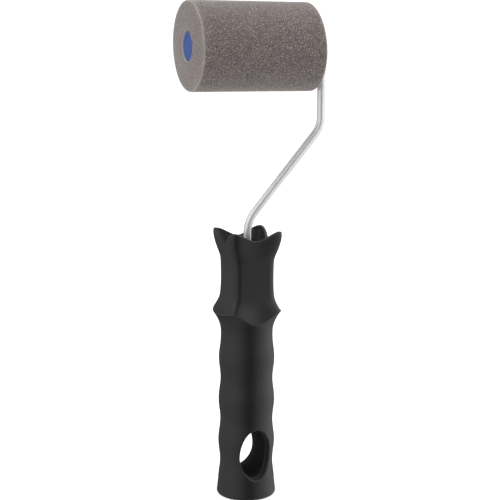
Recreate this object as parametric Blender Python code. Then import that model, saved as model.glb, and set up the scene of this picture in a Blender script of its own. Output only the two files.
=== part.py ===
"""A small foam paint roller: a foam refill on a blue core, a spindle that turns on a bent steel wire,
and a moulded black handle with a four-eared crown, a round wavy grip and a hanging hole.

Frame: metres, +Z up the handle from its flat base at z = 0. The roller's axis is along X, and the wire
bends in the plane y = 0, leaving the roller at +X. The hanging hole runs along Y.
"""

import math

import bmesh
import bpy
from mathutils import Vector

MM = 0.001
GAP = 0.3 * MM  # between pieces that touch in the real object

# Wire: one bent rod, from its tip inside the roller to its shank inside the handle.
WIRE_R = 2.0 * MM
WIRE_SIDES = 12
ROLLER_Z = 232.6 * MM
WIRE_TIP_X = -25.6 * MM
WIRE_RISE_X = 41.0 * MM  # the upright stretch beside the roller
UPPER_BEND_Z = 191.9 * MM
LOWER_BEND_Z = 144.3 * MM
SHANK_END_Z = 60.0 * MM
TOP_BEND_R = 7.0 * MM
UPPER_BEND_R = 13.0 * MM
LOWER_BEND_R = 17.0 * MM
GROOVE_X = (-23.9 * MM, -23.1 * MM)  # for the push nut
GROOVE_R = 1.6 * MM

# Refill: foam on a plastic core with a closed free end.
FOAM_R = 22.35 * MM
FOAM_X = (-31.3 * MM, 33.7 * MM)
FOAM_EDGE_R = 1.2 * MM
FOAM_CROWN = 0.8 * MM  # how far the end faces stand out round the core
FOAM_BORE_R = 7.8 * MM
CORE_R = 7.5 * MM
CORE_WALL = 1.2 * MM
CORE_X = (-29.4 * MM, 33.0 * MM)
CAP_FACE_X = -30.9 * MM
CAP_FLANGE = 1.2 * MM
CAP_PLUG_LENGTH = 4.0 * MM

# Spindle: the sleeve and its two bearings, which stay on the wire when the refill is pulled off.
SPINDLE_X = (-21.0 * MM, 29.7 * MM)
SPINDLE_R = 5.3 * MM
SPINDLE_BORE_R = 4.2 * MM
SPINDLE_RIB_R = 6.0 * MM
SPINDLE_RIB_WIDTH = 1.2 * MM
SPINDLE_RIBS = 6
BEARING_R = 3.9 * MM
BEARING_BORE_R = 2.1 * MM
BEARING_FLANGE_R = 5.6 * MM
BEARING_FLANGE = 1.2 * MM
BEARING_LENGTH = 5.3 * MM

# Retainers on the wire.
NUT_X = (-23.7 * MM, -23.3 * MM)
NUT_R = 4.6 * MM
NUT_BORE_R = 1.9 * MM
NUT_DISH = 0.7 * MM
WASHER_X = (31.45 * MM, 31.85 * MM)
WASHER_R = 4.5 * MM
COLLAR_X = (32.1 * MM, 33.9 * MM)
COLLAR_R = 3.6 * MM
FIXED_BORE_R = WIRE_R + GAP

# Handle.
HANDLE_SIDES = 32
WAVE_PITCH = 22.1 * MM
WAVE_CREST_Z = 29.3 * MM
WAVE_DEPTH = 0.47 * MM
GRIP_MEAN_R = 14.0 * MM  # at GRIP_MEAN_Z
GRIP_MEAN_Z = 75.0 * MM
GRIP_TAPER = 0.0048  # the grip's radius grows this much towards the base
GRIP_TOP_Z = WAVE_CREST_Z + 2.5 * WAVE_PITCH
BASE_FLARE = 1.5 * MM
BASE_FLARE_Z = 7.5 * MM
BASE_EDGE_R = 1.6 * MM
TRUMPET_Z = 87.0 * MM  # where the grip starts to flare out to the flange
TRUMPET_TOP_Z = 99.5 * MM  # above the highest point of the flange's edge
TRUMPET_CURVE = 0.0355 / MM
NECK_Z = 118.0 * MM
EAR_TIP_Z = 140.2 * MM
SCALLOP_DEPTH_X = 8.2 * MM
SCALLOP_DEPTH_Y = 4.5 * MM
CUP_FLOOR_Z = 121.0 * MM
CUP_WALL = 2.6 * MM
RIM_WALL = 2.1 * MM
SOCKET_END_Z = SHANK_END_Z - 1.0 * MM
HOLE_Z = 23.8 * MM
HOLE_HALF_WIDTH = 8.2 * MM
HOLE_HALF_HEIGHT = 13.3 * MM
HOLE_LEDGE = 0.4 * MM
HOLE_LEDGE_R = 10.4 * MM  # the ledge in the hanging hole lies on a cylinder of this radius

# (height, distance) of the neck's flat sides and of its corners from the handle's axis, in mm. The
# sides facing +-Y start lower on the grip than the sides facing +-X.
FLAT_OUTLINE_Y = ((91, 15.4), (97.8, 13.3), (101, 12.4), (105, 11.8), (110, 11.4), (118, 11.3),
                  (124, 11.5), (129, 12.1), (134, 13.1), (141, 14.4))
FLAT_OUTLINE_X = ((91, 22.0), (97.8, 17.6), (99.3, 15.8), (101, 14.3), (105, 12.0), (110, 11.4), (118, 11.3),
                  (124, 11.5), (129, 12.1), (134, 13.1), (141, 14.4))
CORNER_OUTLINE = ((91, 22.5), (98.2, 19.0), (101, 17.3), (105, 15.2), (110, 14.4), (118, 14.3),
                  (123, 14.4), (126.5, 15.1), (130.5, 16.8), (134.5, 18.2), (138, 18.8), (141, 18.5))
CORNER_SHARPNESS = ((91, 0.985), (97.8, 0.98), (105, 0.965), (112, 0.952), (126, 0.955), (141, 0.965))
RIM_SHARPNESS = 0.95


def clear_scene():
    for obj in list(bpy.data.objects):
        bpy.data.objects.remove(obj, do_unlink=True)


def material(name, colour, roughness, metallic=0.0):
    made = bpy.data.materials.new(name)
    made.use_nodes = True
    shader = made.node_tree.nodes["Principled BSDF"]
    shader.inputs["Base Color"].default_value = (*colour, 1.0)
    shader.inputs["Roughness"].default_value = roughness
    shader.inputs["Metallic"].default_value = metallic
    made.diffuse_color = (*colour, 1.0)
    return made


def object_from(bm, name, look, parent=None):
    """The finished bmesh, modelled in world coordinates, as an object whose origin is its parent's."""
    bmesh.ops.recalc_face_normals(bm, faces=bm.faces)
    if parent:
        bmesh.ops.translate(bm, verts=bm.verts, vec=-parent.location)
    mesh = bpy.data.meshes.new(name)
    bm.to_mesh(mesh)
    bm.free()
    mesh.materials.append(look)
    mesh.shade_smooth()
    mesh.set_sharp_from_angle(angle=math.radians(35))
    obj = bpy.data.objects.new(name, mesh)
    bpy.context.scene.collection.objects.link(obj)
    obj.parent = parent
    return obj


def empty(name, location):
    made = bpy.data.objects.new(name, None)
    made.location = location
    made.empty_display_size = 0.01
    bpy.context.scene.collection.objects.link(made)
    return made


def turned_about_roller_axis(name, profile, segments, look, parent):
    """A closed (x, radius) outline turned about the roller's axis. Points at radius 0 close on it."""
    bm = bmesh.new()
    corners = [bm.verts.new((x, 0.0, ROLLER_Z + radius)) for x, radius in profile]
    loop = [bm.edges.new((a, b)) for a, b in zip(corners, corners[1:] + corners[:1])]
    on_axis = [edge for edge in loop if all(v.co.z - ROLLER_Z < 1e-9 for v in edge.verts)]
    for edge in on_axis:
        bm.edges.remove(edge)
    bmesh.ops.spin(
        bm,
        geom=bm.verts[:] + bm.edges[:],
        cent=(0.0, 0.0, ROLLER_Z),
        axis=(1.0, 0.0, 0.0),
        angle=math.tau,
        steps=segments,
        use_merge=True,
    )
    bmesh.ops.remove_doubles(bm, verts=bm.verts, dist=1e-7)
    return object_from(bm, name, look, parent)


def loft(bm, rings, close_start=True, close_end=True):
    """Skins a list of equally long rings of points, with a flat face over each end."""
    made = [[bm.verts.new(point) for point in ring] for ring in rings]
    for lower, upper in zip(made, made[1:]):
        count = len(lower)
        for i in range(count):
            j = (i + 1) % count
            bm.faces.new((lower[i], lower[j], upper[j], upper[i]))
    if close_start:
        bm.faces.new(made[0][::-1])
    if close_end:
        bm.faces.new(made[-1])


def value_along(outline, at):
    """A smooth curve through the outline's (position, value) points, read at one position."""
    last = len(outline) - 2
    span = next((i for i in range(last) if at < outline[i + 1][0]), last)
    (x0, y0), (x1, y1) = outline[span], outline[span + 1]

    def slope(i):
        before, after = outline[max(i - 1, 0)], outline[min(i + 1, len(outline) - 1)]
        return (after[1] - before[1]) / (after[0] - before[0])

    width = x1 - x0
    t = (at - x0) / width
    return (
        (1 + 2 * t) * (1 - t) ** 2 * y0
        + t * (1 - t) ** 2 * width * slope(span)
        + t * t * (3 - 2 * t) * y1
        - t * t * (1 - t) * width * slope(span + 1)
    )


# --- Wire frame ---------------------------------------------------------------------------------


def rounded_path(corners, radii, arc_steps):
    """A polyline through the corners in the plane y = 0, each inner corner replaced by an arc."""
    points = [corners[0]]
    for before, corner, after, radius in zip(corners, corners[1:], corners[2:], radii):
        way_in, way_out = (corner - before).normalized(), (after - corner).normalized()
        turn = way_in.angle(way_out)
        start = corner - way_in * radius * math.tan(turn / 2)
        inward = (way_out - way_in * way_out.dot(way_in)).normalized()
        for step in range(arc_steps + 1):
            part = turn * step / arc_steps
            points.append(start + way_in * radius * math.sin(part) + inward * radius * (1 - math.cos(part)))
    points.append(corners[-1])
    return points


def wire_frame(look):
    """The rod, with a groove for the push nut near its tip and a small chamfer at both ends."""
    groove_start, groove_end = GROOVE_X
    corners = [
        Vector((groove_end, 0.0, ROLLER_Z)),
        Vector((WIRE_RISE_X, 0.0, ROLLER_Z)),
        Vector((WIRE_RISE_X, 0.0, UPPER_BEND_Z)),
        Vector((0.0, 0.0, LOWER_BEND_Z)),
        Vector((0.0, 0.0, SHANK_END_Z)),
    ]
    path = rounded_path(corners, (TOP_BEND_R, UPPER_BEND_R, LOWER_BEND_R), 7)
    chamfer = 0.5 * MM
    right, down = Vector((1.0, 0.0, 0.0)), Vector((0.0, 0.0, -1.0))
    sections = [
        (Vector((x, 0.0, ROLLER_Z)), right, radius)
        for x, radius in (
            (WIRE_TIP_X, WIRE_R - chamfer),
            (WIRE_TIP_X + chamfer, WIRE_R),
            (groove_start, WIRE_R),
            (groove_start, GROOVE_R),
            (groove_end, GROOVE_R),
            (groove_end, WIRE_R),
        )
    ]
    for before, point, after in zip(path, path[1:], path[2:]):
        sections.append((point, (after - before).normalized(), WIRE_R))
    sections += [(path[-1] - chamfer * down, down, WIRE_R), (path[-1], down, WIRE_R - chamfer)]
    turns = [math.tau * (k + 0.5) / WIRE_SIDES for k in range(WIRE_SIDES)]
    rings = []
    for point, along, radius in sections:
        across = Vector((-along.z, 0.0, along.x))
        rings.append([
            point + radius * (math.cos(a) * across + math.sin(a) * Vector((0.0, 1.0, 0.0))) for a in turns
        ])
    bm = bmesh.new()
    loft(bm, rings)
    return object_from(bm, "wire_frame", look)


def retainers(look):
    """What keeps the spindle on the wire: a dished push nut at the tip, a washer and a pressed collar."""
    left, right = NUT_X
    nut = [(left, NUT_BORE_R), (right, NUT_BORE_R), (right + NUT_DISH, NUT_R), (left + NUT_DISH, NUT_R)]
    turned_about_roller_axis("push_nut", nut, 20, look, None)
    for name, (left, right), radius in (
        ("thrust_washer", WASHER_X, WASHER_R),
        ("stop_collar", COLLAR_X, COLLAR_R),
    ):
        ring = [(left, FIXED_BORE_R), (right, FIXED_BORE_R), (right, radius), (left, radius)]
        turned_about_roller_axis(name, ring, 20, look, None)


# --- Handle -------------------------------------------------------------------------------------


def turn_in_quarter(angle, sharpness):
    """Angle from the middle of the nearest flat side, from 0 to at most 45 degrees, eased at the corners."""
    return 0.5 * math.asin(sharpness * abs(math.sin(2 * angle)))


def faces_x(angle):
    """True on the half of each quarter turn that belongs to a side facing +X or -X."""
    return abs(math.cos(angle)) > abs(math.sin(angle))


def grip_radius(z):
    """The round grip: waves for the fingers, a flared base and the trumpet under the flange."""
    mean = GRIP_MEAN_R + GRIP_TAPER * (GRIP_MEAN_Z - z)
    wave = WAVE_DEPTH * math.cos(math.tau * (min(z, GRIP_TOP_Z) - WAVE_CREST_Z) / WAVE_PITCH)
    flare = BASE_FLARE * max(0.0, 1 - z / BASE_FLARE_Z) ** 1.3
    return mean + wave + flare + TRUMPET_CURVE * max(0.0, z - TRUMPET_Z) ** 2


def neck_radius(angle, z):
    """The four-sided neck and crown: flats facing +-X and +-Y, corners between them."""
    height = z / MM
    flat = value_along(FLAT_OUTLINE_X if faces_x(angle) else FLAT_OUTLINE_Y, height)
    corner = value_along(CORNER_OUTLINE, height)
    sharpness = value_along(CORNER_SHARPNESS, height)
    full = 1 / math.cos(0.5 * math.asin(sharpness)) - 1
    here = 1 / math.cos(turn_in_quarter(angle, sharpness)) - 1
    return (flat + (corner - flat) * here / full) * MM


def crease_height(angle):
    """Where a flat side of the neck cuts the trumpet at this angle, found by halving."""
    low, high = 90.0 * MM, TRUMPET_TOP_Z
    for _ in range(40):
        middle = (low + high) / 2
        if grip_radius(middle) < neck_radius(angle, middle):
            low = middle
        else:
            high = middle
    return low


def rim_height(angle):
    """The crown's rim: up to a rounded tip at each ear, and down in a scallop over each flat side."""
    from_flat = turn_in_quarter(angle, RIM_SHARPNESS) / turn_in_quarter(math.pi / 4, RIM_SHARPNESS)
    depth = SCALLOP_DEPTH_X if faces_x(angle) else SCALLOP_DEPTH_Y
    climb = from_flat**1.25 if faces_x(angle) else 1 - math.cos(from_flat * math.pi / 2)
    return EAR_TIP_Z - depth * (1 - climb)


def spread(low, high, count):
    """count heights from just above low up to high, evenly spaced."""
    return [low + (high - low) * (i + 1) / count for i in range(count)]


def handle_body(look):
    """The whole moulding as one skin: base, grip, flange, neck, ears, over the rim, cup and wire socket."""
    angles = [math.tau * i / HANDLE_SIDES for i in range(HANDLE_SIDES)]

    def ring(radius_at, height_at):
        return [
            (radius_at(a) * math.cos(a), radius_at(a) * math.sin(a), height_at(a)) for a in angles
        ]

    def level(z, radius):
        return ring(lambda a: radius, lambda a: z)

    base_r = grip_radius(BASE_EDGE_R)
    rings = [
        level(BASE_EDGE_R * (1 - math.cos(t)), base_r - BASE_EDGE_R * (1 - math.sin(t)))
        for t in (0.0, math.pi / 4, math.pi / 2)
    ]
    rings += [level(z, grip_radius(z)) for z in spread(BASE_EDGE_R, BASE_FLARE_Z, 3)]
    rings += [level(z, grip_radius(z)) for z in spread(BASE_FLARE_Z, TRUMPET_Z, 22)]
    for part in spread(0.0, 1.0, 5):
        def rising(a, part=part):
            return TRUMPET_Z + (crease_height(a) - TRUMPET_Z) * part
        rings.append(ring(lambda a: grip_radius(rising(a)), rising))
    for part in spread(0.0, 1.0, 6):
        def up_neck(a, part=part):
            return crease_height(a) + (NECK_Z - crease_height(a)) * part
        rings.append(ring(lambda a: neck_radius(a, up_neck(a)), up_neck))
    for part in spread(0.0, 1.0, 7):
        def up_crown(a, part=part):
            return NECK_Z + (rim_height(a) - NECK_Z) * part
        rings.append(ring(lambda a: neck_radius(a, up_crown(a)), up_crown))
    for part in (1.0, 0.66, 0.33, 0.0):
        wall = RIM_WALL + (CUP_WALL - RIM_WALL) * (1 - part)
        def down_cup(a, part=part):
            return CUP_FLOOR_Z + (rim_height(a) - CUP_FLOOR_Z) * part
        rings.append(ring(lambda a: neck_radius(a, down_cup(a)) - wall, down_cup))
    rings.append(level(CUP_FLOOR_Z, FIXED_BORE_R))
    rings.append(level(SOCKET_END_Z, FIXED_BORE_R))
    bm = bmesh.new()
    loft(bm, rings)
    body = object_from(bm, "handle_body", look)
    cut = body.modifiers.new("hanging_hole", "BOOLEAN")
    cut.operation = "DIFFERENCE"
    cut.solver = "EXACT"
    cut.object = hole_cutter()
    return body


def hole_cutter():
    """The hanging hole: an oval right through, with a slightly wider mouth down to a ledge on each side."""
    reach = 30.0 * MM
    count = 28

    def oval(inset, side, to_ledge):
        points = []
        for i in range(count):
            turn = math.tau * i / count
            x = (HOLE_HALF_WIDTH - inset) * math.cos(turn)
            z = HOLE_Z + (HOLE_HALF_HEIGHT - inset) * math.sin(turn)
            depth = math.sqrt(HOLE_LEDGE_R**2 - x * x) if to_ledge else reach
            points.append((x, side * depth, z))
        return points

    bm = bmesh.new()
    loft(bm, [
        oval(0.0, -1.0, False), oval(0.0, -1.0, True), oval(HOLE_LEDGE, -1.0, True),
        oval(HOLE_LEDGE, 1.0, True), oval(0.0, 1.0, True), oval(0.0, 1.0, False),
    ])
    cutter = object_from(bm, "hanging_hole_cutter", bpy.data.materials["guide"])
    cutter.hide_render = True
    cutter.display_type = "WIRE"
    return cutter


# --- Spindle ------------------------------------------------------------------------------------


def spindle(axle, look_sleeve, look_bearing):
    """The sleeve with its grip ribs, turning on a flanged bearing bush at each end."""
    rib_edge = math.asin(SPINDLE_RIB_WIDTH / 2 / SPINDLE_RIB_R)
    rib_foot = rib_edge * 1.1
    between = (math.tau / SPINDLE_RIBS - 2 * rib_foot) / 3
    angles, radii = [], []
    for rib in range(SPINDLE_RIBS):
        middle = math.tau * rib / SPINDLE_RIBS
        steps = (-rib_foot, -rib_edge, rib_edge, rib_foot, rib_foot + between, rib_foot + 2 * between)
        angles += [middle + step for step in steps]
        radii += [SPINDLE_R, SPINDLE_RIB_R, SPINDLE_RIB_R, SPINDLE_R, SPINDLE_R, SPINDLE_R]

    def ring(x, sizes):
        return [
            (x, r * math.sin(a), ROLLER_Z + r * math.cos(a)) for a, r in zip(angles, sizes)
        ]

    bore = [SPINDLE_BORE_R] * len(angles)
    left, right = SPINDLE_X
    bm = bmesh.new()
    rings = [ring(left, bore), ring(left, radii), ring(right, radii), ring(right, bore), ring(left, bore)]
    loft(bm, rings, close_start=False, close_end=False)
    bmesh.ops.remove_doubles(bm, verts=bm.verts, dist=1e-7)
    object_from(bm, "spindle_sleeve", look_sleeve, axle)

    for name, end, inward in (("outer_bearing", left, 1.0), ("inner_bearing", right, -1.0)):
        flange_in = end - inward * GAP
        flange_out = flange_in - inward * BEARING_FLANGE
        tip = end + inward * BEARING_LENGTH
        outline = [
            (flange_out, BEARING_BORE_R), (flange_out, BEARING_FLANGE_R), (flange_in, BEARING_FLANGE_R),
            (flange_in, BEARING_R), (tip, BEARING_R), (tip, BEARING_BORE_R),
        ]
        turned_about_roller_axis(name, outline, 24, look_bearing, axle)


# --- Refill -------------------------------------------------------------------------------------


def refill(axle, look_foam, look_core):
    left, right = FOAM_X
    soft = FOAM_EDGE_R
    foam = [
        (left - FOAM_CROWN, FOAM_BORE_R),
        (left, FOAM_R - soft),
        (left + soft * 0.3, FOAM_R - soft * 0.3),
        (left + soft, FOAM_R),
        (right - soft, FOAM_R),
        (right - soft * 0.3, FOAM_R - soft * 0.3),
        (right, FOAM_R - soft),
        (right + FOAM_CROWN, FOAM_BORE_R),
    ]
    turned_about_roller_axis("foam_sleeve", foam, 40, look_foam, axle)

    core_bore = CORE_R - CORE_WALL
    left, right = CORE_X
    tube = [(left, core_bore), (left, CORE_R), (right, CORE_R), (right, core_bore)]
    turned_about_roller_axis("core_tube", tube, 32, look_core, axle)

    plug_r = core_bore - GAP
    flange_x = CAP_FACE_X + CAP_FLANGE
    plug_end = flange_x + CAP_PLUG_LENGTH
    cap = [
        (CAP_FACE_X, 0.0), (CAP_FACE_X, CORE_R - 0.4 * MM), (CAP_FACE_X + 0.4 * MM, CORE_R),
        (flange_x, CORE_R), (flange_x, plug_r), (plug_end, plug_r),
        (plug_end, plug_r - CORE_WALL), (flange_x, plug_r - CORE_WALL), (flange_x, 0.0),
    ]
    turned_about_roller_axis("core_end_cap", cap, 32, look_core, axle)


def main():
    clear_scene()
    material("guide", (0.8, 0.2, 0.2), 0.5)
    steel = material("zinc_plated_steel", (0.68, 0.68, 0.67), 0.3, 1.0)
    spring = material("spring_steel", (0.5, 0.5, 0.49), 0.4, 1.0)
    black = material("black_polypropylene", (0.022, 0.022, 0.021), 0.5)
    natural = material("natural_nylon", (0.78, 0.76, 0.7), 0.45)
    bearing = material("white_acetal", (0.86, 0.86, 0.85), 0.35)
    foam = material("grey_foam", (0.16, 0.14, 0.135), 0.95)
    blue = material("blue_polypropylene", (0.055, 0.095, 0.33), 0.45)
    handle_body(black)
    wire_frame(steel)
    retainers(spring)
    axle = empty("roller_axis", (0.0, 0.0, ROLLER_Z))
    spindle(axle, natural, bearing)
    refill(axle, foam, blue)


main()
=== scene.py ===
"""The looks of a mini paint roller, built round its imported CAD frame.

Metres, +Z up the handle, the roller's axis along X, the wire's bends in the plane y = 0.
Every CAD node is replaced by a finer mesh of the same part, with a procedural material.
"""

import math

import bmesh
import bpy
from mathutils import Matrix, Vector, noise


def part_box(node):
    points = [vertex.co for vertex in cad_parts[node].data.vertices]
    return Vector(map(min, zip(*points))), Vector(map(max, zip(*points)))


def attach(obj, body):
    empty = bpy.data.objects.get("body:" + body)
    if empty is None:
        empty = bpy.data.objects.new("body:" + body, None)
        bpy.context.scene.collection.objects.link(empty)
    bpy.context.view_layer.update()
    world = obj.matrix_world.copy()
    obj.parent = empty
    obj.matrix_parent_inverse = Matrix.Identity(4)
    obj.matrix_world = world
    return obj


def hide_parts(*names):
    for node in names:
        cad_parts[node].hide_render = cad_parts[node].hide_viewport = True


MM = 0.001
TURN = math.tau

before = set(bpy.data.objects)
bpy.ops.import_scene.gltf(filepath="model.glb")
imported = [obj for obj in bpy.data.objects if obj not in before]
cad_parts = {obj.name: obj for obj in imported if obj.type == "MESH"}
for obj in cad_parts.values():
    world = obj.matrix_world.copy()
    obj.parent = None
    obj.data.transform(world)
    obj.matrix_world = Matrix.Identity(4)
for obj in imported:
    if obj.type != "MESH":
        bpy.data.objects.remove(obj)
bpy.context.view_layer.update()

# --- Camera -------------------------------------------------------------------------------------

CAMERA_YAW = math.radians(23.0)  # looks along +Y, turned this far towards +X
CAMERA_DISTANCE = 0.629  # from the handle's axis, level
CAMERA_AIM_DROP = 0.163849  # how far the view's centre drops per metre ahead
CAMERA_ROLL = math.radians(-0.32)
CAMERA_ASIDE = 0.00229469  # the handle's axis lies this far left of the centre, per metre ahead
CAMERA_ABOVE_MIDDLE = 0.103  # the part of the handle that this is true of lies this far lower
FOCAL_PER_WIDTH = 2.484
SENSOR_MM = 36.0

foam_low, foam_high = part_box("foam_sleeve")
ROLLER_Z = (foam_low.z + foam_high.z) / 2


def make_camera():
    pitch = math.atan(CAMERA_AIM_DROP)
    sin_a, cos_a = math.sin(CAMERA_YAW), math.cos(CAMERA_YAW)
    right = Vector((cos_a, -sin_a, 0.0))
    ahead = Vector((sin_a * math.cos(pitch), cos_a * math.cos(pitch), -math.sin(pitch)))
    up = right.cross(ahead)
    middle_depth = CAMERA_DISTANCE * math.cos(pitch) + CAMERA_ABOVE_MIDDLE * math.sin(pitch)
    place = Vector((-sin_a * CAMERA_DISTANCE, -cos_a * CAMERA_DISTANCE, ROLLER_Z))
    place += right * CAMERA_ASIDE * middle_depth
    roll = Matrix.Rotation(CAMERA_ROLL, 3, ahead)
    right, up = roll @ right, roll @ up
    camera = bpy.data.objects.new("camera", bpy.data.cameras.new("camera"))
    camera.data.sensor_width = SENSOR_MM
    camera.data.lens = SENSOR_MM * FOCAL_PER_WIDTH
    camera.matrix_world = Matrix((
        (right.x, up.x, -ahead.x, place.x),
        (right.y, up.y, -ahead.y, place.y),
        (right.z, up.z, -ahead.z, place.z),
        (0.0, 0.0, 0.0, 1.0),
    ))
    bpy.context.scene.collection.objects.link(camera)
    bpy.context.scene.camera = camera


make_camera()

# --- Materials ----------------------------------------------------------------------------------


def new_look(name, **sockets):
    """A Principled material; each keyword is a socket's name with _ for a space."""
    look = bpy.data.materials.new(name)
    look.use_nodes = True
    shader = look.node_tree.nodes["Principled BSDF"]
    for key, value in sockets.items():
        shader.inputs[key.replace("_", " ")].default_value = value
    return look, shader


def add(look, kind, inputs=(), **settings):
    """A node with its settings and inputs. An input is a plain value or another node's socket."""
    made = look.node_tree.nodes.new(kind)
    for key, value in settings.items():
        setattr(made, key, value)
    for key, value in dict(inputs).items():
        if isinstance(value, bpy.types.NodeSocket):
            look.node_tree.links.new(value, made.inputs[key])
        else:
            made.inputs[key].default_value = value
    return made


def join(look, output, target):
    look.node_tree.links.new(output, target)


def math_node(look, operation, *values):
    return add(look, "ShaderNodeMath", dict(enumerate(values)), operation=operation).outputs[0]


def ramp(look, factor, stops):
    """A colour ramp through (position, grey or colour) stops."""
    made = add(look, "ShaderNodeValToRGB", {"Fac": factor})
    elements = made.color_ramp.elements
    while len(elements) < len(stops):
        elements.new(0.5)
    for element, (position, colour) in zip(elements, stops):
        element.position = position
        element.color = (*colour, 1.0) if isinstance(colour, tuple) else (colour, colour, colour, 1.0)
    return made.outputs["Color"]


def noise_node(look, vector, scale, detail=2.0, roughness=0.5):
    inputs = {"Vector": vector, "Scale": scale, "Detail": detail, "Roughness": roughness}
    return add(look, "ShaderNodeTexNoise", inputs).outputs["Fac"]


def between(look, value, low, high, start=0.0, end=1.0):
    """Goes evenly from low to high while the value goes from start to end, and stays level beyond."""
    return add(look, "ShaderNodeMapRange", {
        "Value": value, "From Min": start, "From Max": end, "To Min": low, "To Max": high
    }).outputs["Result"]


def bump(look, shader, height, distance, strength=1.0):
    inputs = {"Height": height, "Distance": distance, "Strength": strength}
    join(look, add(look, "ShaderNodeBump", inputs).outputs["Normal"], shader.inputs["Normal"])


def object_place(look):
    return add(look, "ShaderNodeTexCoord").outputs["Object"]


# Scales of noise, in cells per metre, and how far each swings a look.
FLOW_SCALE = 55.0
FLOW_SWING = 0.1
SMEAR_SCALE = 240.0
SMEAR_SWING = 0.05
GRAIN_SCALE = 2600.0
BORE_DULLNESS = 0.5


def plastic(name, colour, roughness, grain, edge_lift=0.0, specular=0.5):
    """Moulded plastic: faint flow marks, a fine spark-eroded grain, a painted highlight along marked edges
    and dull bores.
    """
    look, shader = new_look(name, Specular_IOR_Level=specular)
    place = object_place(look)
    flow = noise_node(look, place, FLOW_SCALE, 3.0)
    dark, light = (tuple(c * k for c in colour) for k in (1 - FLOW_SWING, 1 + FLOW_SWING))
    shade = ramp(look, flow, [(0.3, dark), (0.7, light)])
    # edge_lift paints a highlight into the base colour where the edge attribute marks an edge.
    if edge_lift:
        edge_highlight = add(look, "ShaderNodeAttribute", attribute_name="edge").outputs["Fac"]
        lifted = tuple(c + edge_lift for c in colour)
        mixed = add(look, "ShaderNodeMix", {"Factor": edge_highlight, "B": (*lifted, 1.0)}, data_type="RGBA")
        join(look, shade, mixed.inputs["A"])
        shade = mixed.outputs["Result"]
    join(look, shade, shader.inputs["Base Color"])
    smear = noise_node(look, place, SMEAR_SCALE, 3.0)
    rough = between(look, smear, roughness - SMEAR_SWING, roughness + SMEAR_SWING)
    if edge_lift:
        deep = add(look, "ShaderNodeAttribute", attribute_name="bore").outputs["Fac"]
        rough = math_node(look, "ADD", rough, math_node(look, "MULTIPLY", deep, BORE_DULLNESS))
    join(look, rough, shader.inputs["Roughness"])
    pits = noise_node(look, place, GRAIN_SCALE, 2.0, 0.6)
    bump(look, shader, pits, grain)
    return look


LINES_MAP = "along"  # (metres along the wire, metres round it)
DRAW_LINES = (30.0, 2400.0, 1.0)  # cells of noise per metre along and across the lines
DRAW_LINE_DEPTH = 0.004 * MM
CLOUD_SCALE = 90.0


def drawn_steel(name, colour, roughness, metallic=1.0):
    """Metal with fine lines along its lines map. A piece that has no such map comes out plain."""
    look, shader = new_look(name, Metallic=metallic)
    place = add(look, "ShaderNodeUVMap", uv_map=LINES_MAP).outputs["UV"]
    lines = add(look, "ShaderNodeMapping", {"Vector": place, "Scale": DRAW_LINES}).outputs["Vector"]
    streak = noise_node(look, lines, 1.0, 3.0, 0.6)
    cloud = noise_node(look, object_place(look), CLOUD_SCALE, 2.0)
    dark, light = (tuple(c * k for c in colour) for k in (0.93, 1.05))
    join(look, ramp(look, cloud, [(0.3, dark), (0.7, light)]), shader.inputs["Base Color"])
    join(look, between(look, streak, roughness - 0.06, roughness + 0.08), shader.inputs["Roughness"])
    bump(look, shader, streak, DRAW_LINE_DEPTH)
    return look


CELL_SCALE = 2600.0
STRUT_SCALE = 3600.0
PATCH_SCALE = 260.0
CELL_SHARE = 0.6
STRUT_SHARE = 0.55
PATCH_SHARE = 0.08
STRUT_BASE = 0.08
CELL_DEPTH = 0.2 * MM
# From the bottom of a pore to the top of a strut: the dark pore end is painted shade.
FOAM_SHADES = (
    (0.50, (0.060, 0.049, 0.046)),
    (0.66, (0.119, 0.099, 0.094)),
    (0.80, (0.250, 0.211, 0.201)),
    (0.95, (0.445, 0.378, 0.358)),
)
# What each attribute of the mesh does to the colour: painted light on the cut ends, a painted highlight
# along the rims, and the bore's mouth.
FOAM_MARKS = (
    ("cut", "ADD", (0.025, 0.0226, 0.0214)),
    ("edge", "MIX", (0.570, 0.505, 0.480)),
    ("lip", "MIX", (0.510, 0.460, 0.415)),
)


def foam_look():
    """Open-cell foam: light struts over pores darkened with painted shade, a fuzzy sheen, cut ends painted
    paler as painted light and a painted highlight along the rims.
    """
    look, shader = new_look(
        "grey_foam_fine",
        Roughness=0.95,
        Specular_IOR_Level=0.15,
        Sheen_Weight=0.5,
        Sheen_Roughness=0.45,
        Sheen_Tint=(1.0, 0.95, 0.93, 1.0),
    )
    place = object_place(look)
    cells = add(look, "ShaderNodeTexVoronoi", {"Vector": place, "Scale": CELL_SCALE}, feature="F1")
    fine = noise_node(look, place, STRUT_SCALE, 2.0, 0.7)
    broad = noise_node(look, place, PATCH_SCALE, 2.0)
    strut = STRUT_BASE
    heights = (cells.outputs["Distance"], fine, broad)
    for height, share in zip(heights, (CELL_SHARE, STRUT_SHARE, PATCH_SHARE)):
        strut = math_node(look, "ADD", math_node(look, "MULTIPLY", height, share), strut)
    # The ramp paints shade into the pores: the deeper, the darker.
    shade = ramp(look, strut, FOAM_SHADES)
    for name, blend, colour in FOAM_MARKS:
        amount = add(look, "ShaderNodeAttribute", attribute_name=name).outputs["Fac"]
        mixed = add(look, "ShaderNodeMix", {
            "Factor": amount, "B": (*colour, 1.0)
        }, data_type="RGBA", blend_type=blend)
        join(look, shade, mixed.inputs["A"])
        shade = mixed.outputs["Result"]
    join(look, shade, shader.inputs["Base Color"])
    bump(look, shader, strut, CELL_DEPTH, 0.9)
    return look


# --- Meshes -------------------------------------------------------------------------------------

MERGE_DISTANCE = 1e-8
ON_AXIS = 1e-9
CORNER_SHARE = 0.45  # a rounding takes at most this much of a side


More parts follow.
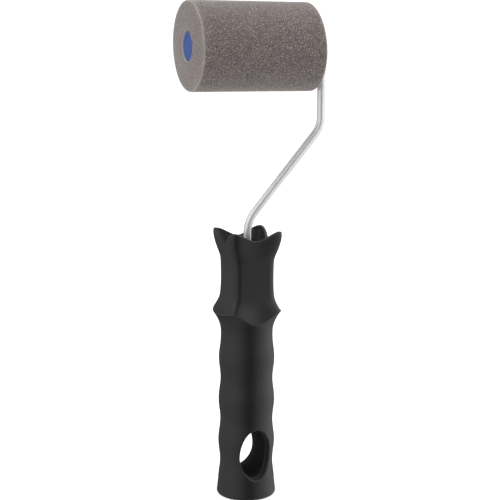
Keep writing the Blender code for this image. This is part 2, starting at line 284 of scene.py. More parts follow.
def skin(rings, close_start, close_end, loop_rings=False):
    """Vertices and faces of a surface through equally long closed rings of points."""
    count = len(rings[0])
    verts = [point for ring in rings for point in ring]
    faces = []
    last = len(rings) if loop_rings else len(rings) - 1
    for k in range(last):
        here, there = k * count, (k + 1) % len(rings) * count
        for i in range(count):
            j = (i + 1) % count
            faces.append((here + i, here + j, there + j, there + i))
    if close_start:
        faces.append(tuple(range(count))[::-1])
    if close_end:
        faces.append(tuple(range((len(rings) - 1) * count, len(rings) * count)))
    return verts, faces


def piece(name, verts, faces, look, sharp_degrees=40.0):
    """A mesh object with its seams welded, smooth apart from its sharp edges."""
    mesh = bpy.data.meshes.new(name)
    mesh.from_pydata([tuple(v) for v in verts], [], faces)
    bm = bmesh.new()
    bm.from_mesh(mesh)
    bmesh.ops.remove_doubles(bm, verts=bm.verts, dist=MERGE_DISTANCE)
    bmesh.ops.recalc_face_normals(bm, faces=bm.faces)
    bm.to_mesh(mesh)
    bm.free()
    mesh.materials.append(look)
    mesh.shade_smooth()
    mesh.set_sharp_from_angle(angle=math.radians(sharp_degrees))
    obj = bpy.data.objects.new(name, mesh)
    bpy.context.scene.collection.objects.link(obj)
    return obj


def stands_for(obj, node, body):
    """The piece takes a CAD node's place and body, and the node is hidden."""
    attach(obj, body)
    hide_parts(node)


def mark(obj, name, value_at):
    """Stores a value per vertex that a material can read."""
    layer = obj.data.attributes.new(name, "FLOAT", "POINT")
    for i, vertex in enumerate(obj.data.vertices):
        layer.data[i].value = value_at(vertex.co)


def softened(outline, radius, steps=4):
    """A closed (x, r) outline with every corner that isn't on the axis rounded off."""
    points = []
    count = len(outline)
    for i, (x, r) in enumerate(outline):
        here = Vector((x, r))
        before, after = Vector(outline[i - 1]), Vector(outline[(i + 1) % count])
        if r < ON_AXIS:
            points.append((x, r))
            continue
        back, ahead = before - here, after - here
        cut = min(radius, back.length * CORNER_SHARE, ahead.length * CORNER_SHARE)
        start, end = here + back.normalized() * cut, here + ahead.normalized() * cut
        for k in range(steps + 1):
            t = k / steps
            spot = start * (1 - t) ** 2 + here * 2 * t * (1 - t) + end * t * t
            points.append((spot.x, spot.y))
    return points


def turned(name, outline, look, segments=96, radius=0.2 * MM):
    """A softened (x, r) outline turned round the roller's axis. Points on the axis close on it."""
    outline = softened(outline, radius)
    rings = [
        [
            (x, r * math.sin(TURN * i / segments), ROLLER_Z + r * math.cos(TURN * i / segments))
            for i in range(segments)
        ]
        for x, r in outline
    ]
    closed = all(r > ON_AXIS for _, r in outline)
    verts, faces = skin(rings, False, False, loop_rings=closed)
    return piece(name, verts, faces, look)


def value_along(outline, at):
    """A smooth curve through the outline's (position, value) points, read at one position."""
    last = len(outline) - 2
    span = next((i for i in range(last) if at < outline[i + 1][0]), last)
    (x0, y0), (x1, y1) = outline[span], outline[span + 1]

    def slope(i):
        before, after = outline[max(i - 1, 0)], outline[min(i + 1, len(outline) - 1)]
        return (after[1] - before[1]) / (after[0] - before[0])

    width = x1 - x0
    t = (at - x0) / width
    return (
        (1 + 2 * t) * (1 - t) ** 2 * y0
        + t * (1 - t) ** 2 * width * slope(span)
        + t * t * (3 - 2 * t) * y1
        - t * t * (1 - t) * width * slope(span + 1)
    )


def smooth_step(low, high, at):
    t = min(max((at - low) / (high - low), 0.0), 1.0)
    return t * t * (3 - 2 * t)


def spread(low, high, count):
    """count values from just above low up to high, evenly spaced."""
    return [low + (high - low) * (i + 1) / count for i in range(count)]


# --- Handle -------------------------------------------------------------------------------------

CLEARANCE = 0.3 * MM  # left between two pieces that would touch
HANDLE_SIDES = 192
WAVE_PITCH = 22.1 * MM
WAVE_CREST_Z = 29.3 * MM
WAVE_DEPTH = 0.47 * MM
GRIP_MEAN_R = 14.0 * MM
GRIP_MEAN_Z = 75.0 * MM
GRIP_TAPER = 0.0048
GRIP_TOP_Z = WAVE_CREST_Z + 2.5 * WAVE_PITCH
BASE_FLARE = 1.5 * MM
BASE_FLARE_Z = 7.5 * MM
BASE_FLARE_POWER = 1.3
BASE_EDGE_R = 1.6 * MM
# How much painted highlight the base's rounded edge gets.
BASE_HIGHLIGHT = 0.35
TRUMPET_Z = 87.0 * MM
TRUMPET_TOP_Z = 99.5 * MM
TRUMPET_CURVE = 0.0355 / MM
CREASE_LOW_Z = 90.0 * MM  # the search for the crease between trumpet and neck starts here
CREASE_R = 0.3 * MM
NECK_Z = 118.0 * MM
NECK_CORNER_R = 3.85 * MM
# Heights in mm between which the neck's corners turn round, stay round, and sharpen again.
WAIST = (102.0, 108.0, 121.0, 128.0)
EAR_TIP_Z = 140.2 * MM
SCALLOP_DEPTH_X = 8.2 * MM
SCALLOP_DEPTH_Y = 4.5 * MM
SCALLOP_POWER = 1.25
CUP_FLOOR_Z = 121.0 * MM
CUP_FLOOR_R = 1.5 * MM
CUP_WALL = 2.6 * MM
RIM_WALL = 2.1 * MM
RIM_EDGE_R = 0.35 * MM
# How much painted highlight the crown's rounded rim gets.
RIM_HIGHLIGHT = 0.4
FLUTE_DEPTH = 0.14 * MM
FLUTES = 56
WIRE_R = 2.0 * MM
SOCKET_R = WIRE_R + CLEARANCE
SOCKET_EDGE = 0.25 * MM
wire_low, wire_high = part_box("wire_frame")
SOCKET_END_Z = wire_low.z - 1.0 * MM
HOLE_SIDES = 120
HOLE_Z = 23.8 * MM
HOLE_HALF_WIDTH = 8.2 * MM
HOLE_HALF_HEIGHT = 13.3 * MM
HOLE_LEDGE = 0.4 * MM
HOLE_LEDGE_DEPTH = 4.2 * MM
HOLE_MOUTH_R = 0.5 * MM
HOLE_MOUTH_FLARE = 1.3  # the mouth opens by this many times its radius
HOLE_MOUTH_LIFT = 0.04 * MM
HOLE_OVERSHOOT = 3.0 * MM  # how far the cutter stands out of the skin
HANDLE_SHARP_DEGREES = 32

# (height, distance) of the neck's flat sides and of its corners from the handle's axis, in mm.
FLAT_OUTLINE_Y = (
    (91, 15.4), (97.8, 13.3), (101, 12.4), (105, 11.8), (110, 11.4), (118, 11.3), (124, 11.5), (129, 12.1),
    (134, 13.1), (141, 14.4),
)
FLAT_OUTLINE_X = (
    (91, 22.0), (97.8, 17.6), (99.3, 15.8), (101, 14.3), (105, 12.0), (110, 11.4), (118, 11.3), (124, 11.5),
    (129, 12.1), (134, 13.1), (141, 14.4),
)
CORNER_OUTLINE = (
    (91, 22.5), (98.2, 19.0), (101, 17.3), (105, 15.2), (110, 14.4), (118, 14.3), (123, 14.4), (126.5, 15.1),
    (130.5, 16.8), (134.5, 18.2), (138, 18.8), (141, 18.5),
)
# (height in mm, sharpness) of the corners: 1 is a sharp corner, less is a rounder one.
CORNER_SHARPNESS = ((91, 0.985), (97.8, 0.98), (105, 0.965), (112, 0.952), (126, 0.955), (141, 0.965))
RIM_SHARPNESS = 0.95


def turn_in_quarter(angle, sharpness):
    """Angle from the nearest flat side's middle, from 0 to at most 45 degrees, eased at the corners."""
    return 0.5 * math.asin(sharpness * abs(math.sin(2 * angle)))


def faces_x(angle):
    return abs(math.cos(angle)) > abs(math.sin(angle))


def grip_radius(z):
    """The round grip: waves for the fingers, a flared base and the trumpet under the flange."""
    mean = GRIP_MEAN_R + GRIP_TAPER * (GRIP_MEAN_Z - z)
    wave = WAVE_DEPTH * math.cos(TURN * (min(z, GRIP_TOP_Z) - WAVE_CREST_Z) / WAVE_PITCH)
    flare = BASE_FLARE * max(0.0, 1 - z / BASE_FLARE_Z) ** BASE_FLARE_POWER
    return mean + wave + flare + TRUMPET_CURVE * max(0.0, z - TRUMPET_Z) ** 2


def rounded_box(angle, half_x, half_y, corner_r):
    """Distance to a rectangle's side or rounded corner at this angle."""
    across, along = abs(math.cos(angle)), abs(math.sin(angle))
    centre_x, centre_y = half_x - corner_r, half_y - corner_r
    if along * half_x <= centre_y * across:
        return half_x / across
    if across * half_y <= centre_x * along:
        return half_y / along
    reach = across * centre_x + along * centre_y
    return reach + math.sqrt(reach**2 - centre_x**2 - centre_y**2 + corner_r**2)


def neck_radius(angle, z):
    """The four-sided neck and crown: flats facing +-X and +-Y, corners between them."""
    height = z / MM
    flat = value_along(FLAT_OUTLINE_X if faces_x(angle) else FLAT_OUTLINE_Y, height)
    corner = value_along(CORNER_OUTLINE, height)
    sharpness = value_along(CORNER_SHARPNESS, height)
    full = 1 / math.cos(0.5 * math.asin(sharpness)) - 1
    here = 1 / math.cos(turn_in_quarter(angle, sharpness)) - 1
    flared = (flat + (corner - flat) * here / full) * MM
    waist = smooth_step(*WAIST[:2], height) * (1 - smooth_step(*WAIST[2:], height))
    if not waist:
        return flared
    half_x, half_y = (value_along(outline, height) * MM for outline in (FLAT_OUTLINE_X, FLAT_OUTLINE_Y))
    return flared + (rounded_box(angle, half_x, half_y, NECK_CORNER_R) - flared) * waist


def crease_height(angle):
    """Where a flat side of the neck cuts the trumpet at this angle, found by halving."""
    low, high = CREASE_LOW_Z, TRUMPET_TOP_Z
    for _ in range(40):
        middle = (low + high) / 2
        if grip_radius(middle) < neck_radius(angle, middle):
            low = middle
        else:
            high = middle
    return low


def rim_height(angle):
    """The crown's rim: up to a rounded tip at each ear, and down in a scallop over each flat side."""
    from_flat = turn_in_quarter(angle, RIM_SHARPNESS) / turn_in_quarter(math.pi / 4, RIM_SHARPNESS)
    depth = SCALLOP_DEPTH_X if faces_x(angle) else SCALLOP_DEPTH_Y
    climb = from_flat**SCALLOP_POWER if faces_x(angle) else 1 - math.cos(from_flat * math.pi / 2)
    return EAR_TIP_Z - depth * (1 - climb)


def handle_outline(angle):
    """The skin's (radius, height, painted highlight) points at one angle, from the base up and into the
    socket.
    """
    base_r = grip_radius(BASE_EDGE_R)
    points = []
    # The base's rounded edge, with a painted highlight.
    for k in range(8):
        t = math.pi / 2 * k / 7
        spot = (base_r - BASE_EDGE_R * (1 - math.sin(t)), BASE_EDGE_R * (1 - math.cos(t)))
        points.append((*spot, BASE_HIGHLIGHT * math.sin(2 * t)))
    points += [(grip_radius(z), z, 0.0) for z in spread(BASE_EDGE_R, BASE_FLARE_Z, 10)]
    points += [(grip_radius(z), z, 0.0) for z in spread(BASE_FLARE_Z, TRUMPET_Z, 106)]

    crease = crease_height(angle)
    for part in spread(0.0, 1.0, 12):
        z = TRUMPET_Z + (crease - CREASE_R - TRUMPET_Z) * part
        points.append((grip_radius(z), z, 0.0))
    below = Vector(points[-1][:2])
    tip = Vector((grip_radius(crease), crease))
    above = Vector((neck_radius(angle, crease + CREASE_R), crease + CREASE_R))
    # The crease's rounding, with a painted highlight along it.
    for k in range(1, 6):
        t = k / 5
        spot = below * (1 - t) ** 2 + tip * 2 * t * (1 - t) + above * t * t
        points.append((spot.x, spot.y, math.sin(math.pi * t)))

    for part in spread(0.0, 1.0, 24):
        z = above.y + (NECK_Z - above.y) * part
        points.append((neck_radius(angle, z), z, 0.0))
    rim = rim_height(angle)
    for part in spread(0.0, 1.0, 28):
        z = NECK_Z + (rim - RIM_EDGE_R - NECK_Z) * part
        points.append((neck_radius(angle, z), z, 0.0))
    outer = neck_radius(angle, rim)
    # The crown's rounded rim, with a painted highlight.
    for k in range(1, 5):
        t = math.pi / 2 * k / 4
        spot = (outer - RIM_EDGE_R * (1 - math.cos(t)), rim - RIM_EDGE_R * (1 - math.sin(t)))
        points.append((*spot, RIM_HIGHLIGHT))
    for k in range(5):
        t = math.pi / 2 * k / 4
        inner = outer - RIM_WALL + RIM_EDGE_R * (1 - math.sin(t))
        points.append((inner, rim - RIM_EDGE_R * (1 - math.cos(t)), RIM_HIGHLIGHT))
    # The cup's fluted inner wall, with a painted highlight that is strongest on the flute crests.
    for part in spread(0.0, 1.0, 26):
        z = rim - RIM_EDGE_R + (CUP_FLOOR_Z + CUP_FLOOR_R - rim + RIM_EDGE_R) * part
        wall = RIM_WALL + (CUP_WALL - RIM_WALL) * part
        crest = (0.5 - 0.5 * math.cos(FLUTES * angle)) * min(1.0, 6 * part)
        points.append((neck_radius(angle, z) - wall - FLUTE_DEPTH * crest, z, 0.5 + 0.5 * crest))
    cup_r = points[-1][0]
    for k in range(1, 6):
        t = math.pi / 2 * k / 5
        spot = (cup_r - CUP_FLOOR_R * (1 - math.cos(t)), CUP_FLOOR_Z + CUP_FLOOR_R * (1 - math.sin(t)))
        points.append((*spot, 0.0))
    floor_r = cup_r - CUP_FLOOR_R
    points += [(floor_r + (SOCKET_R - floor_r) * part, CUP_FLOOR_Z, 0.0) for part in (0.35, 0.7, 0.95)]
    points.append((SOCKET_R, CUP_FLOOR_Z - SOCKET_EDGE, 0.0))
    points.append((SOCKET_R, SOCKET_END_Z, 0.0))
    return points


def hole_cutter():
    """The hanging hole: an oval right through, with rounded mouths and a narrow ledge inside each."""

    def oval(grow, depth_at):
        ring = []
        for i in range(HOLE_SIDES):
            turn = TURN * i / HOLE_SIDES
            x = (HOLE_HALF_WIDTH + grow) * math.cos(turn)
            z = HOLE_Z + (HOLE_HALF_HEIGHT + grow) * math.sin(turn)
            ring.append((x, depth_at(x, z), z))
        return ring

    def under_skin(side, sink):
        return lambda x, z: side * (math.sqrt(grip_radius(z) ** 2 - x * x) - sink)

    rings = []
    for side in (-1.0, 1.0):
        steps = [(HOLE_MOUTH_R * HOLE_MOUTH_FLARE, -HOLE_OVERSHOOT)]
        for k in range(7):
            t = math.pi / 2 * k / 6
            grow = HOLE_MOUTH_R * (1 - math.sin(t)) ** 2 * HOLE_MOUTH_FLARE
            steps.append((grow, HOLE_MOUTH_R * math.sin(t) - HOLE_MOUTH_LIFT))
        ledge = HOLE_LEDGE_DEPTH
        steps += [
            (0.0, ledge - 0.15 * MM),
            (-0.12 * MM, ledge),
            (-HOLE_LEDGE + 0.15 * MM, ledge),
            (-HOLE_LEDGE, ledge + 0.2 * MM),
            (-HOLE_LEDGE, ledge + 0.5 * MM),
        ]
        half = [oval(grow, under_skin(side, sink)) for grow, sink in steps]
        rings += half if side < 0 else half[::-1]
    verts, faces = skin(rings, True, True)
    return piece("hanging_hole_cutter", verts, faces, bpy.data.materials[0])


def cut(obj, cutter):
    """Subtracts the cutter from the piece for good, and removes the cutter."""
    modifier = obj.modifiers.new("cut", "BOOLEAN")
    modifier.operation = "DIFFERENCE"
    modifier.solver = "EXACT"
    modifier.object = cutter
    graph = bpy.context.evaluated_depsgraph_get()
    finished = bpy.data.meshes.new_from_object(obj.evaluated_get(graph))
    obj.modifiers.clear()
    obj.data = finished
    bpy.data.objects.remove(cutter, do_unlink=True)


def make_handle():
    look = plastic(
        "black_polypropylene_fine", (0.0095, 0.0094, 0.009), 0.4, 0.02 * MM, edge_lift=0.03, specular=0.4
    )
    outlines = [handle_outline(TURN * i / HANDLE_SIDES) for i in range(HANDLE_SIDES)]
    rings, edge_highlight = [], []
    for k in range(len(outlines[0])):
        ring = []
        for i, outline in enumerate(outlines):
            radius, z, edge = outline[k]
            angle = TURN * i / HANDLE_SIDES
            ring.append((radius * math.cos(angle), radius * math.sin(angle), z))
            edge_highlight.append(edge)
        rings.append(ring)
    verts, faces = skin(rings, True, True)
    handle = piece("handle_moulding", verts, faces, look)
    # The edge attribute holds each vertex's painted highlight.
    layer = handle.data.attributes.new("edge", "FLOAT", "POINT")
    layer.data.foreach_set("value", edge_highlight)
    cut(handle, hole_cutter())
    handle.data.set_sharp_from_angle(angle=math.radians(HANDLE_SHARP_DEGREES))

    def under_skin(co):
        """How deep in the hanging hole a point is, along the hole."""
        beside = 1.0 * MM
        if abs(co.z - HOLE_Z) > HOLE_HALF_HEIGHT + beside or abs(co.x) > HOLE_HALF_WIDTH + beside:
            return 0.0
        return math.sqrt(grip_radius(co.z) ** 2 - co.x**2) - abs(co.y)

    def on_ledge(co):
        return HOLE_LEDGE_DEPTH - 0.05 * MM < under_skin(co) < HOLE_LEDGE_DEPTH + 0.3 * MM

    def in_bore(co):
        return 1.0 if under_skin(co) > HOLE_MOUTH_R * 0.9 and not on_ledge(co) else 0.0

    mark(handle, "bore", in_bore)
    # The ledge's edge gets the full painted highlight.
    layer = handle.data.attributes["edge"]
    for i, vertex in enumerate(handle.data.vertices):
        if on_ledge(vertex.co):
            layer.data[i].value = 1.0
    stands_for(handle, "handle_body", "frame")


# --- Wire frame ---------------------------------------------------------------------------------

WIRE_SIDES = 40
WIRE_RISE_X = wire_high.x - WIRE_R
UPPER_BEND_Z = 191.9 * MM
LOWER_BEND_Z = 144.3 * MM
BEND_RADII = (7.0 * MM, 13.0 * MM, 17.0 * MM)
GROOVE_X = (-23.9 * MM, -23.1 * MM)
GROOVE_R = 1.6 * MM
WIRE_END_EDGE = 0.5 * MM
BEND_STEPS = 28
STRAIGHT_STEP = 4.0 * MM


def rounded_path(corners, radii, arc_steps, straight_step):
    """A polyline through the corners in the plane y = 0, each inner corner replaced by an arc."""
    points = [corners[0]]

    def straight_to(end):
        start = points[-1]
        count = max(1, round((end - start).length / straight_step))
        points.extend(start.lerp(end, k / count) for k in range(1, count + 1))

    for before, corner, after, radius in zip(corners, corners[1:], corners[2:], radii):
        way_in, way_out = (corner - before).normalized(), (after - corner).normalized()
        turn = way_in.angle(way_out)
        start = corner - way_in * radius * math.tan(turn / 2)
        straight_to(start)
        inward = (way_out - way_in * way_out.dot(way_in)).normalized()
        for step in range(1, arc_steps + 1):
            part = turn * step / arc_steps
            onward, aside = radius * math.sin(part), radius * (1 - math.cos(part))
            points.append(start + way_in * onward + inward * aside)
    straight_to(corners[-1])
    return points


def make_wire():
    look = drawn_steel("zinc_plated_steel_fine", (0.775, 0.77, 0.765), 0.24, metallic=0.45)
    groove_start, groove_end = GROOVE_X
    corners = [
        Vector((groove_end, 0.0, ROLLER_Z)),
        Vector((WIRE_RISE_X, 0.0, ROLLER_Z)),
        Vector((WIRE_RISE_X, 0.0, UPPER_BEND_Z)),
        Vector((0.0, 0.0, LOWER_BEND_Z)),
        Vector((0.0, 0.0, wire_low.z)),
    ]
    path = rounded_path(corners, BEND_RADII, BEND_STEPS, STRAIGHT_STEP)
    chamfer = WIRE_END_EDGE
    right, down = Vector((1.0, 0.0, 0.0)), Vector((0.0, 0.0, -1.0))
    tip = [
        (wire_low.x, WIRE_R - chamfer),
        (wire_low.x + 0.3 * chamfer, WIRE_R - 0.5 * chamfer),
        (wire_low.x + chamfer, WIRE_R),
        (groove_start - 0.1 * MM, WIRE_R),
        (groove_start, WIRE_R - 0.1 * MM),
        (groove_start + 0.05 * MM, GROOVE_R),
        (groove_end - 0.05 * MM, GROOVE_R),
        (groove_end, WIRE_R - 0.1 * MM),
        (groove_end + 0.1 * MM, WIRE_R),
    ]
    sections = [(Vector((x, 0.0, ROLLER_Z)), right, radius) for x, radius in tip]
    for before, point, after in zip(path, path[1:], path[2:]):
        sections.append((point, (after - before).normalized(), WIRE_R))
    sections += [(path[-1] - chamfer * down, down, WIRE_R), (path[-1], down, WIRE_R - chamfer)]
    rings = []
    for point, heading, radius in sections:
        across = Vector((-heading.z, 0.0, heading.x))
        ring = []
        for k in range(WIRE_SIDES):
            turn = TURN * (k + 0.5) / WIRE_SIDES
            out = math.cos(turn) * across + math.sin(turn) * Vector((0.0, 1.0, 0.0))
            ring.append(point + radius * out)
        rings.append(ring)
    verts, faces = skin(rings, True, True)
    wire = piece("wire_rod", verts, faces, look)
    lengths = [0.0]
    for (a, _, _), (b, _, _) in zip(sections, sections[1:]):
        lengths.append(lengths[-1] + (b - a).length)
    layer = wire.data.uv_layers.new(name=LINES_MAP)
    for polygon in wire.data.polygons:
        for loop, vertex in zip(polygon.loop_indices, polygon.vertices):
            ring, k = divmod(vertex, WIRE_SIDES)
            wraps = k == 0 and any(v % WIRE_SIDES == WIRE_SIDES - 1 for v in polygon.vertices)
            turn = 1.0 if wraps else k / WIRE_SIDES
            layer.data[loop].uv = (lengths[ring], turn * TURN * WIRE_R)
    stands_for(wire, "wire_frame", "frame")


# --- Foam sleeve --------------------------------------------------------------------------------

FOAM_SIDES = 352
FOAM_STEP = 0.4 * MM
FOAM_EDGE_R = 1.0 * MM
FOAM_CROWN = 0.8 * MM
FOAM_LIP = 0.35 * MM
FOAM_BORE_R = 7.8 * MM
FOAM_SLANTS = (0.03, 0.065)  # the ends are cut this much off square, leaning towards -X at the top
FOAM_SLANT_X = 12.0 * MM  # and the slant fades out this near the middle
FOAM_SWELL = 0.9 * MM  # the capped end stands proud of the CAD block by this much
FOAM_SHY = 0.3 * MM  # and the wire's end falls short of it by this much
FOAM_PORE = 0.045 * MM  # how deep the pores in the mesh are
PORE_SIZE = 0.75 * MM
PORE_GRAIN = 0.55 * MM
PORE_PATCH = 9.0 * MM
# How far the painted highlight along the foam's rims reaches, close in and faintly further out.
RIM_HIGHLIGHT_R = 0.5 * MM
RIM_FADE_R = 1.9 * MM
RIM_FADE = 0.12  # the faint share of the painted highlight that reaches further from the rim
# How deep from each end the painted light on the end faces fades out.
CUT_FACE_DEPTHS = (0.5 * MM, 1.5 * MM)
BORE_LIP_R = 0.25 * MM
BORE_LIP_DEPTH = 3.0 * MM


def make_foam():
    look = foam_look()
    radius = (foam_high.z - foam_low.z) / 2
    left, right = foam_low.x + FOAM_CROWN - FOAM_SWELL, foam_high.x - FOAM_CROWN - FOAM_SHY

    def end(x, outward):
        """From the bore's edge out over the end face and round its rim."""
        inner, outer = FOAM_BORE_R, radius - FOAM_EDGE_R
        rows = []
        count = round((outer - inner) / FOAM_STEP)
        for k in range(count + 1):
            part = k / count
            lip = FOAM_LIP * max(0.0, 1 - part * 12) ** 2
            rows.append((x + outward * (FOAM_CROWN * (1 - part) - lip), inner + (outer - inner) * part))
        for k in range(1, 7):
            t = math.pi / 2 * k / 6
            rows.append((
                x - outward * FOAM_EDGE_R * (1 - math.cos(t)), outer + FOAM_EDGE_R * math.sin(t)
            ))
        return rows

    rows = end(left, -1.0)
    count = round((right - left - 2 * FOAM_EDGE_R) / FOAM_STEP)
    rows += [(x, radius) for x in spread(left + FOAM_EDGE_R, right - FOAM_EDGE_R, count)][:-1]
    rows += end(right, 1.0)[::-1]
    outside = len(rows)
    inside = spread(right + FOAM_CROWN * 0.5, left - FOAM_CROWN * 0.5, 24)[:-1]
    rows += [(x, FOAM_BORE_R) for x in inside]

    def porous(place, out, depth):
        cell = noise.voronoi(place / PORE_SIZE, distance_metric="DISTANCE")[0][0]
        grain = noise.noise(place / PORE_GRAIN)
        broad = noise.noise(place / PORE_PATCH)
        return place + out * depth * (1.5 * (cell - 0.55) + 0.8 * grain + 0.9 * broad)

    rings = []
    for k, (x, r) in enumerate(rows):
        nearest = (rows[(k + 1) % len(rows)], rows[k - 1])
        along = Vector((nearest[0][0] - nearest[1][0], nearest[0][1] - nearest[1][1]))
        normal = Vector((-along.y, along.x)).normalized()
        depth = FOAM_PORE if k < outside else 0.0
        ring = []
        for i in range(FOAM_SIDES):
            turn = TURN * i / FOAM_SIDES
            slant = -FOAM_SLANTS[x > 0] * r * math.cos(turn)
            lean = smooth_step(FOAM_SLANT_X, abs(left), abs(x))
            place = Vector((x + slant * lean, r * math.sin(turn), ROLLER_Z + r * math.cos(turn)))
            out = Vector((normal.x, normal.y * math.sin(turn), normal.y * math.cos(turn)))
            ring.append(porous(place, out, depth) if depth else place)
        rings.append(ring)
    verts, faces = skin(rings, False, False, loop_rings=True)
    foam = piece("foam_roll", verts, faces, look, sharp_degrees=80.0)
    middle = (left + right) / 2
    half = (right - left) / 2

    def beyond(co):
        """How far a point is inside the rim, inside the bore's edge and from the nearer end."""
        r = math.hypot(co.y, co.z - ROLLER_Z)
        from_end = half - min(half, abs(co.x - middle + FOAM_SLANTS[co.x > middle] * (co.z - ROLLER_Z)))
        return radius - r, r - FOAM_BORE_R, from_end

    # A painted highlight along the rim of each end.
    def rim_highlight(co):
        from_side, _, from_end = beyond(co)
        away = math.hypot(max(0.0, from_side), from_end)
        near, far = (math.exp(-((away / reach) ** 2)) for reach in (RIM_HIGHLIGHT_R, RIM_FADE_R))
        return (1 - RIM_FADE) * near + RIM_FADE * far

    # Painted light: the end faces come out paler than the side.
    def end_face_light(co):
        return 1 - smooth_step(*CUT_FACE_DEPTHS, beyond(co)[2])

    def bore_lip(co):
        _, from_bore, from_end = beyond(co)
        return 1.0 if from_bore < BORE_LIP_R and from_end < BORE_LIP_DEPTH else 0.0

    mark(foam, "edge", rim_highlight)
    mark(foam, "cut", end_face_light)
    mark(foam, "lip", bore_lip)
    stands_for(foam, "foam_sleeve", "refill")


# --- Core, spindle and retainers ----------------------------------------------------------------

CORE_R = 7.5 * MM
CORE_WALL = 1.2 * MM
CAP_FLANGE = 1.2 * MM
CAP_PROUD = 0.9 * MM  # the cap's face follows the swollen foam out by this much
CAP_DISH = 0.25 * MM
CAP_DISH_R = 5.4 * MM
CAP_RIM_R = 5.9 * MM
SPINDLE_R = 5.3 * MM
SPINDLE_BORE_R = 4.2 * MM
SPINDLE_RIB_R = 6.0 * MM
SPINDLE_RIBS = 6
SPINDLE_SIDES = 120
SPINDLE_EDGE = 0.25 * MM
RIB_HALF_WIDTHS = (0.45 * MM, 0.8 * MM)  # at the crest and at the foot
RIB_RUN_OUT = 1.5 * MM
BEARING_R = 3.9 * MM
BEARING_BORE_R = 2.1 * MM
BEARING_FLANGE_R = 5.6 * MM
BEARING_FLANGE = 1.2 * MM
NUT_SIDES = 120
NUT_TEETH = 6
NUT_SHEET = 0.4 * MM
NUT_BORE_R = 1.9 * MM
NUT_SLIT_DEPTH = 1.3 * MM
NUT_ROWS = (0.0, 0.15, 0.4, 0.7, 1.0)


def make_core():
    look = plastic("blue_polypropylene_fine", (0.046, 0.099, 0.358), 0.45, 0.006 * MM, specular=0.4)
    low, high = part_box("core_tube")
    bore = CORE_R - CORE_WALL
    tube = turned("core_tube_moulding", [
        (low.x, bore), (low.x, CORE_R), (high.x, CORE_R), (high.x, bore)
    ], look)
    stands_for(tube, "core_tube", "refill")

    low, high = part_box("core_end_cap")
    flange_x = low.x + CAP_FLANGE
    face_x = low.x - CAP_PROUD
    plug_r = bore - CLEARANCE
    cap = turned("core_cap_moulding", [
        (face_x + CAP_DISH, 0.0), (face_x + CAP_DISH, CAP_DISH_R), (face_x, CAP_RIM_R),
        (face_x, CORE_R), (flange_x, CORE_R), (flange_x, plug_r), (high.x, plug_r),
        (high.x, plug_r - CORE_WALL), (flange_x, plug_r - CORE_WALL), (flange_x, 0.0),
    ], look, radius=0.35 * MM)
    stands_for(cap, "core_end_cap", "refill")


def make_spindle():
    sleeve_look = plastic("natural_nylon_fine", (0.78, 0.76, 0.70), 0.4, 0.008 * MM)
    bearing_look = plastic("white_acetal_fine", (0.86, 0.86, 0.85), 0.3, 0.004 * MM)
    low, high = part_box("spindle_sleeve")

    def outer(turn, x):
        """Ribs with rounded crests that run out in a ramp at both ends."""
        phase = (turn * SPINDLE_RIBS / TURN) % 1.0
        from_rib = min(phase, 1 - phase) / SPINDLE_RIBS * TURN * SPINDLE_RIB_R
        rise = 1 - smooth_step(*RIB_HALF_WIDTHS, from_rib)
        ramp_in = smooth_step(0.0, RIB_RUN_OUT, x - low.x) * smooth_step(0.0, RIB_RUN_OUT, high.x - x)
        return SPINDLE_R + (SPINDLE_RIB_R - SPINDLE_R) * rise * ramp_in

    def ring(x, radius_at):
        turns = [TURN * i / SPINDLE_SIDES for i in range(SPINDLE_SIDES)]
        return [(x, radius_at(t) * math.sin(t), ROLLER_Z + radius_at(t) * math.cos(t)) for t in turns]

    edge = SPINDLE_EDGE
    rings = [ring(low.x, lambda t: SPINDLE_BORE_R), ring(low.x, lambda t: SPINDLE_R - edge)]
    stops = (low.x + edge, low.x + 2 * MM, high.x - 2 * MM, high.x - edge)
    places = [stops[0]]
    for start, end, steps in zip(stops, stops[1:], (6, 10, 6)):
        places += spread(start, end, steps)
    for x in places:
        rings.append(ring(x, lambda t, x=x: outer(t, x)))
    rings += [ring(high.x, lambda t: SPINDLE_R - edge), ring(high.x, lambda t: SPINDLE_BORE_R)]
    verts, faces = skin(rings, False, False, loop_rings=True)
    sleeve = piece("spindle_cage", verts, faces, sleeve_look)
    stands_for(sleeve, "spindle_sleeve", "spindle")

    for node, name in (("outer_bearing", "outer_bush"), ("inner_bearing", "inner_bush")):
        low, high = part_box(node)
        if node == "outer_bearing":
            face, step, tip = low.x, low.x + BEARING_FLANGE, high.x
        else:
            face, step, tip = high.x, high.x - BEARING_FLANGE, low.x
        bush = turned(name, [
            (face, BEARING_BORE_R), (face, BEARING_FLANGE_R), (step, BEARING_FLANGE_R),
            (step, BEARING_R), (tip, BEARING_R), (tip, BEARING_BORE_R),
        ], bearing_look)
        stands_for(bush, node, "spindle")


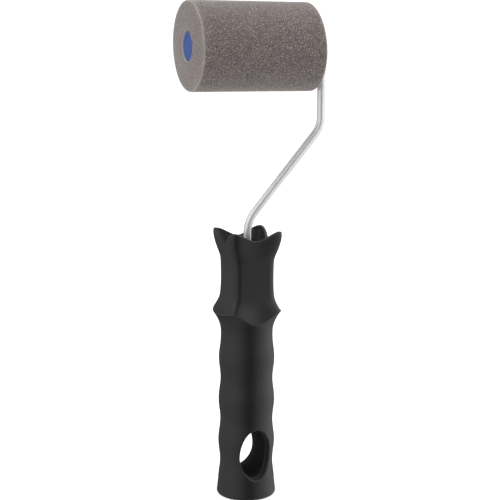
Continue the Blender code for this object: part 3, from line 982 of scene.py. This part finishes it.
def make_retainers():
    look = drawn_steel("spring_steel_fine", (0.50, 0.50, 0.49), 0.34)
    low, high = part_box("push_nut")
    outer_r = (high.z - low.z) / 2
    dish = high.x - low.x - NUT_SHEET

    def spot(turn, part, front):
        """The dished disc, slit between its teeth, which turn in towards the groove."""
        phase = abs(((turn * NUT_TEETH / TURN) % 1.0) - 0.5) * 2
        inner = NUT_BORE_R + smooth_step(0.82, 0.95, phase) * NUT_SLIT_DEPTH
        r = inner + (outer_r - inner) * part
        x = low.x + dish * (r - NUT_BORE_R) / (outer_r - NUT_BORE_R) + (0.0 if front else NUT_SHEET)
        return (x, r * math.sin(turn), ROLLER_Z + r * math.cos(turn))

    rings = []
    for front, parts in ((True, NUT_ROWS), (False, NUT_ROWS[::-1])):
        for part in parts:
            rings.append([spot(TURN * i / NUT_SIDES, part, front) for i in range(NUT_SIDES)])
    verts, faces = skin(rings, False, False, loop_rings=True)
    nut = piece("toothed_push_nut", verts, faces, look)
    stands_for(nut, "push_nut", "frame")

    for node, name in (("thrust_washer", "thrust_ring"), ("stop_collar", "staked_collar")):
        low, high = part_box(node)
        radius = (high.z - low.z) / 2
        ring = turned(name, [
            (low.x, WIRE_R + CLEARANCE), (high.x, WIRE_R + CLEARANCE), (high.x, radius), (low.x, radius)
        ], look, radius=0.12 * MM)
        stands_for(ring, node, "frame")


# --- Studio -------------------------------------------------------------------------------------

FLOOR_SIDES = 64
FLOOR_R = 1.6
FLOOR_GREY = 0.8
FLOOR_LIFT = 0.6
SOFTBOX_WIDTH = 0.9
SOFTBOX_Z = 1.1
SOFTBOX_POWER = 1.6
# (sine of the height above level, brightness) of the light from below, round about and above.
LIGHT_UP = ((-0.65, 0.72), (-0.16, 1.0), (0.35, 1.4))
# (degrees round from the camera towards its right, brightness) of the light from the sides.
LIGHT_ROUND = (
    (-180, 0.15), (-148, 0.2), (-118, 0.5), (-94, 0.72), (-74, 0.99), (-54, 1.05), (-34, 0.92), (-17, 0.66),
    (-2, 0.24), (17, 0.05), (30, 0.2), (43, 0.63), (55, 0.96), (68, 1.12), (84, 1.3), (102, 1.5), (124, 1.1),
    (150, 0.35), (180, 0.15),
)


def make_studio():
    """A pale floor under soft white light, with a darker gap just right of the camera."""
    bpy.context.scene.view_settings.view_transform = "Standard"
    look, shader = new_look("pale_floor", Roughness=0.9, Specular_IOR_Level=0.1)
    shader.inputs["Base Color"].default_value = (FLOOR_GREY, FLOOR_GREY, FLOOR_GREY, 1.0)
    shader.inputs["Emission Color"].default_value = (1.0, 1.0, 1.0, 1.0)
    seen = add(look, "ShaderNodeLightPath").outputs["Is Camera Ray"]
    join(look, math_node(look, "MULTIPLY", seen, FLOOR_LIFT), shader.inputs["Emission Strength"])
    turns = [TURN * i / FLOOR_SIDES for i in range(FLOOR_SIDES)]
    verts = [(FLOOR_R * math.cos(turn), FLOOR_R * math.sin(turn), 0.0) for turn in turns]
    floor = piece("floor", verts, [tuple(range(FLOOR_SIDES))], look)
    floor.visible_glossy = False

    world = bpy.data.worlds.new("studio")
    bpy.context.scene.world = world
    world.use_nodes = True
    background = world.node_tree.nodes["Background"]
    direction = add(world, "ShaderNodeTexCoord").outputs["Generated"]
    turned_to_camera = add(world, "ShaderNodeMapping", {
        "Vector": direction, "Rotation": (0.0, 0.0, math.pi / 2 + CAMERA_YAW)
    }).outputs["Vector"]
    split = add(world, "ShaderNodeSeparateXYZ", {"Vector": turned_to_camera})
    around = math_node(world, "ARCTAN2", split.outputs["Y"], split.outputs["X"])
    around = math_node(world, "ADD", math_node(world, "DIVIDE", around, TURN), 0.5)
    sides = ramp(world, around, [(0.5 + degrees / 360.0, level) for degrees, level in LIGHT_ROUND])
    # The backdrop itself is plain white.
    seen = add(world, "ShaderNodeLightPath").outputs["Is Camera Ray"]
    shown = add(world, "ShaderNodeMix", {"Factor": seen, "B": (1.0, 1.0, 1.0, 1.0)}, data_type="RGBA")
    join(world, sides, shown.inputs["A"])
    join(world, shown.outputs["Result"], background.inputs["Color"])
    height = between(world, split.outputs["Z"], 0.0, 1.0, start=-1.0)
    climb = ramp(world, height, [((at + 1.0) / 2, level) for at, level in LIGHT_UP])
    join(world, climb, background.inputs["Strength"])

    softbox = bpy.data.lights.new("softbox", "AREA")
    softbox.shape = "DISK"
    softbox.size = SOFTBOX_WIDTH
    softbox.energy = SOFTBOX_POWER
    overhead = bpy.data.objects.new("softbox", softbox)
    overhead.location = (0.0, 0.0, SOFTBOX_Z)
    bpy.context.scene.collection.objects.link(overhead)


make_handle()
make_wire()
make_foam()
make_core()
make_spindle()
make_retainers()
make_studio()

bpy.context.view_layer.update()
